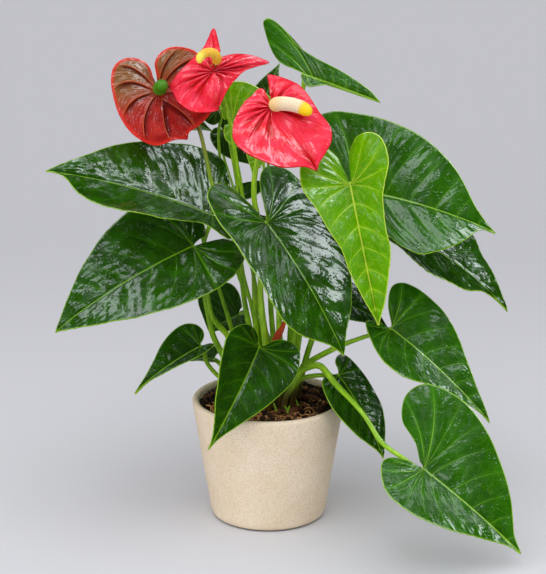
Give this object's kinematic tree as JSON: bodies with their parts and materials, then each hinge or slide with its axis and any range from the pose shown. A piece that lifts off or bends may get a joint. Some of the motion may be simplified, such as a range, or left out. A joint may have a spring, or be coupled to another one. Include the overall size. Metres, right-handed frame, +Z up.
{
  "type": "potted anthurium",
  "caption": "Potted anthurium: glossy heart-shaped leaves and red spathes with yellow spadices on slim stalks, rooted in bark soil in a plain tapered ceramic pot.",
  "frame": {"origin": "centre of the flat underside of the pot, which the part rests on", "axes": "+Z up, +X to the right and -Y towards the viewer when the flowers are seen from the front"},
  "size_m": [0.4139, 0.3319, 0.4515],
  "materials": {
    "leaf_green": "wet glossy dark green leaf with pale thin veins",
    "leaf_lime": "glossy yellow-green young leaf with cream veins",
    "leaf_back": "satin deep green leaf",
    "stalk_green": "satin yellow-green stalk, browner at its foot",
    "spathe_red": "high-gloss puckered red",
    "spathe_dark": "glossy dark red turning green-brown on the lobes",
    "spadix_yellow": "fine florets, cream to yellow",
    "spadix_green": "fine green florets",
    "pot_ceramic": "matt cream stoneware with fine brown speckles",
    "soil_bark": "dark crumbled bark with tan root shreds"
  },
  "bodies": {
    "root": {"flower_stalk_left": "stalk_green", "flower_stalk_middle": "stalk_green", "flower_stalk_right": "stalk_green", "leaf_back_left": "leaf_back", "leaf_back_middle": "leaf_back", "leaf_back_right": "leaf_back", "leaf_back_wide_left": "leaf_back", "leaf_back_wide_right": "leaf_back", "leaf_centre": "leaf_green", "leaf_front": "leaf_green", "leaf_inner_dark": "leaf_back", "leaf_inner_high": "leaf_lime", "leaf_left_low_back": "leaf_back", "leaf_left_lower": "leaf_green", "leaf_left_small": "leaf_green", "leaf_left_upper": "leaf_green", "leaf_lime": "leaf_lime", "leaf_right_behind": "leaf_green", "leaf_right_front": "leaf_green", "leaf_right_inner": "leaf_green", "leaf_right_middle": "leaf_green", "leaf_right_upper": "leaf_green", "leaf_stalk_back_left": "stalk_green", "leaf_stalk_back_middle": "stalk_green", "leaf_stalk_back_right": "stalk_green", "leaf_stalk_back_wide_left": "stalk_green", "leaf_stalk_back_wide_right": "stalk_green", "leaf_stalk_centre": "stalk_green", "leaf_stalk_front": "stalk_green", "leaf_stalk_inner_dark": "stalk_green", "leaf_stalk_inner_high": "stalk_green", "leaf_stalk_left_low_back": "stalk_green", "leaf_stalk_left_lower": "stalk_green", "leaf_stalk_left_small": "stalk_green", "leaf_stalk_left_upper": "stalk_green", "leaf_stalk_lime": "stalk_green", "leaf_stalk_right_behind": "stalk_green", "leaf_stalk_right_front": "stalk_green", "leaf_stalk_right_inner": "stalk_green", "leaf_stalk_right_middle": "stalk_green", "leaf_stalk_right_upper": "stalk_green", "leaf_stalk_top_back": "stalk_green", "leaf_stalk_top_hidden": "stalk_green", "leaf_stalk_top_left": "stalk_green", "leaf_stalk_top_middle": "stalk_green", "leaf_stalk_top_right": "stalk_green", "leaf_top_back": "leaf_back", "leaf_top_hidden": "leaf_back", "leaf_top_left": "leaf_back", "leaf_top_middle": "leaf_lime", "leaf_top_right": "leaf_green", "pot": "pot_ceramic", "soil": "soil_bark", "spadix_left": "spadix_green", "spadix_middle": "spadix_yellow", "spadix_right": "spadix_yellow", "spathe_left": "spathe_dark", "spathe_middle": "spathe_red", "spathe_right": "spathe_red"}
  },
  "joints": []
}
